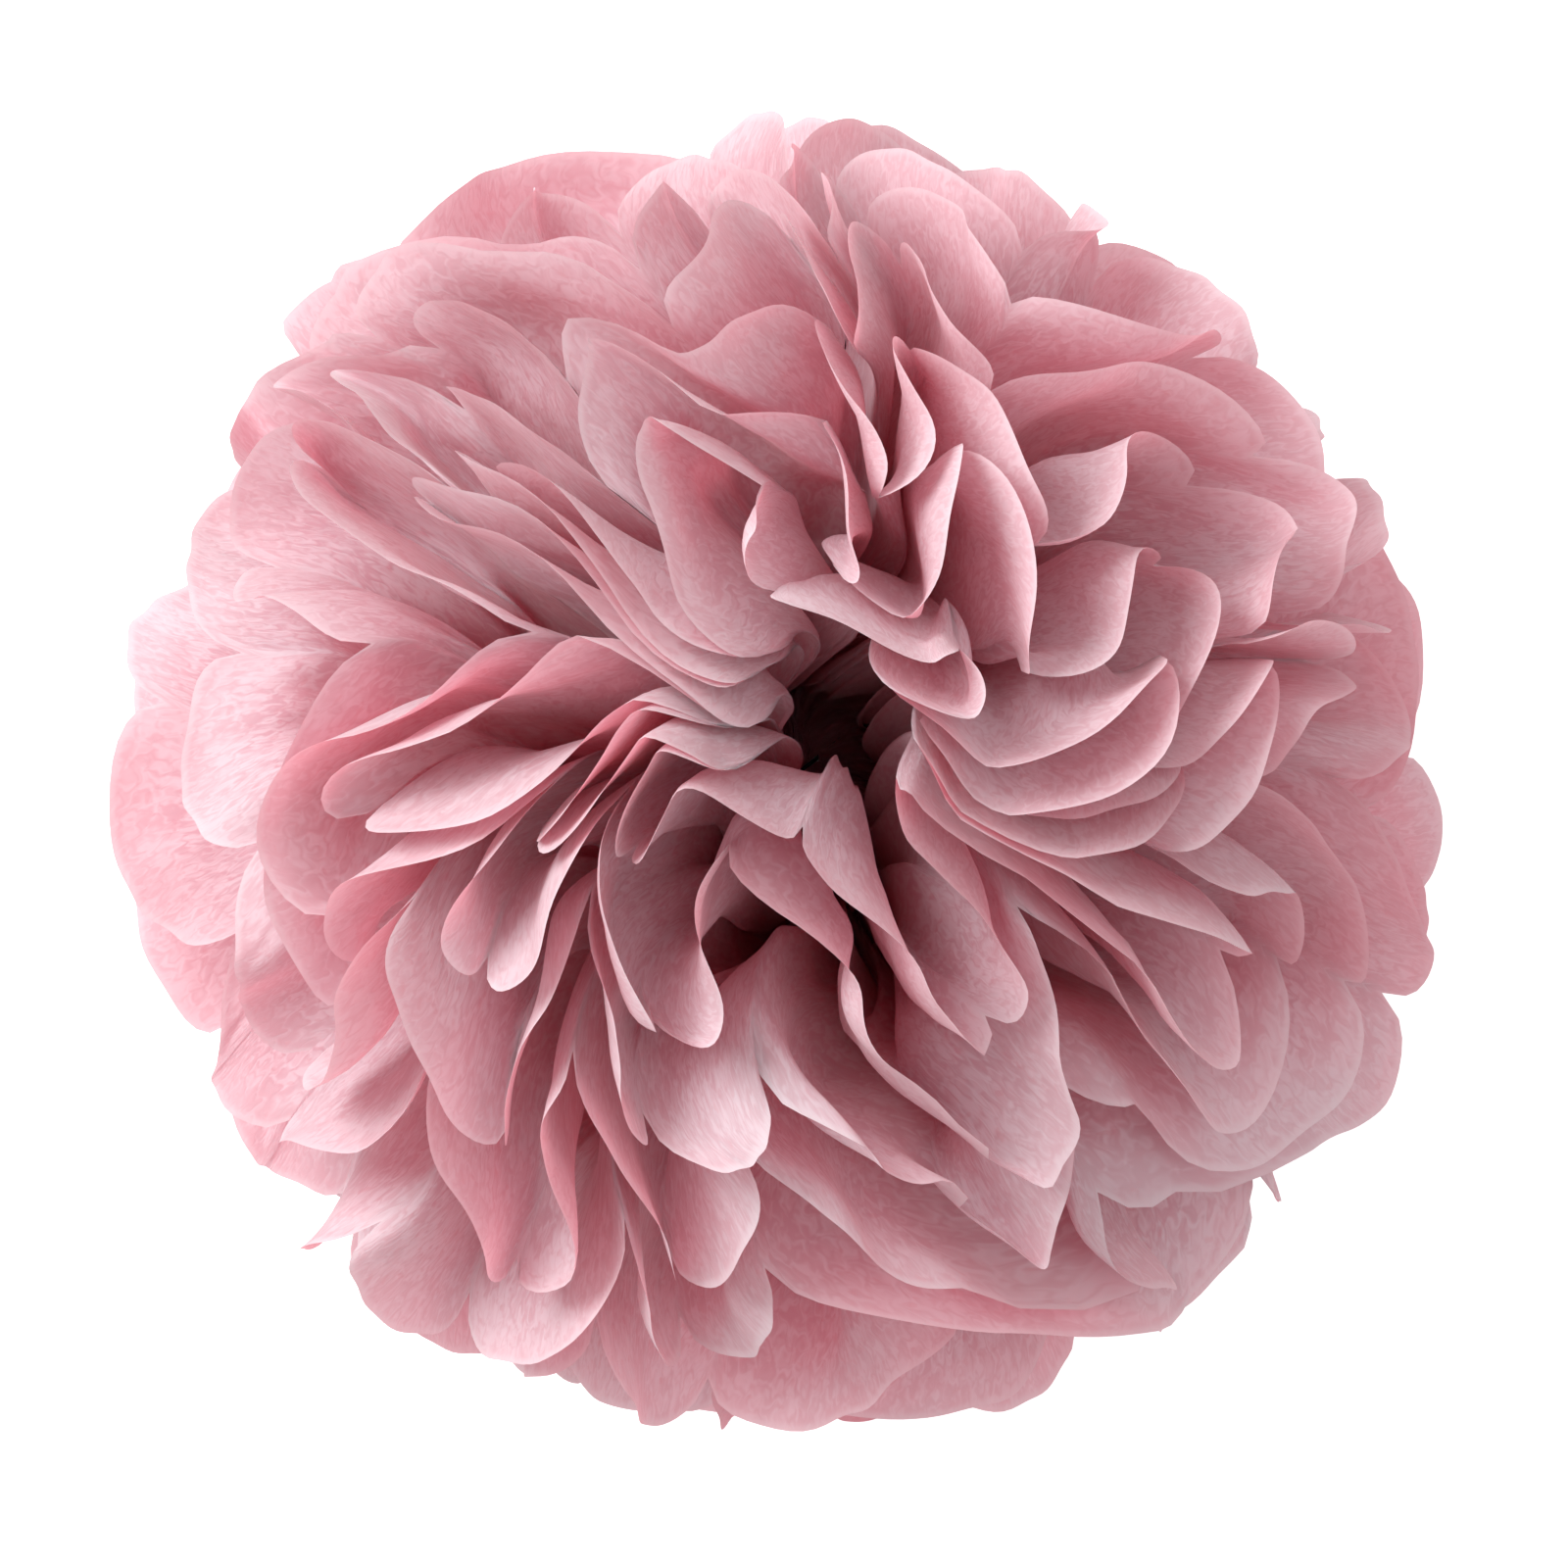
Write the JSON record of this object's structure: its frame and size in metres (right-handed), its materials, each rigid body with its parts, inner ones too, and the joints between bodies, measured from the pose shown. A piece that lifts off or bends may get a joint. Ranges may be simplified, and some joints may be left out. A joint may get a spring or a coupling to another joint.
{
  "type": "tissue paper pom pom",
  "caption": "Hanging decoration: pleated tissue sheets, tied with wire across the middle and fluffed out into a ball.",
  "frame": {"origin": "centre of the wire tie, where all sheets are tied together", "axes": "+Z along the ball's axis, from the tie to the middle of the upper sheets, which faces the viewer in the picture; +X along the tied waist, so the slits between the two fans run along X; +Y to the first fan"},
  "size_m": [0.2399, 0.2462, 0.2519],
  "materials": {
    "tissue": "thin dusty pink tissue paper, slightly see-through, soft creases",
    "wire": "plain annealed tie wire"
  },
  "bodies": {
    "root": {"upper_sheet_1": "tissue", "upper_sheet_2": "tissue", "upper_sheet_3": "tissue", "upper_sheet_4": "tissue", "upper_sheet_5": "tissue", "upper_sheet_6": "tissue", "lower_sheet_1": "tissue", "lower_sheet_2": "tissue", "lower_sheet_3": "tissue", "lower_sheet_4": "tissue", "lower_sheet_5": "tissue", "lower_sheet_6": "tissue", "wire_tie": "wire"}
  },
  "joints": []
}
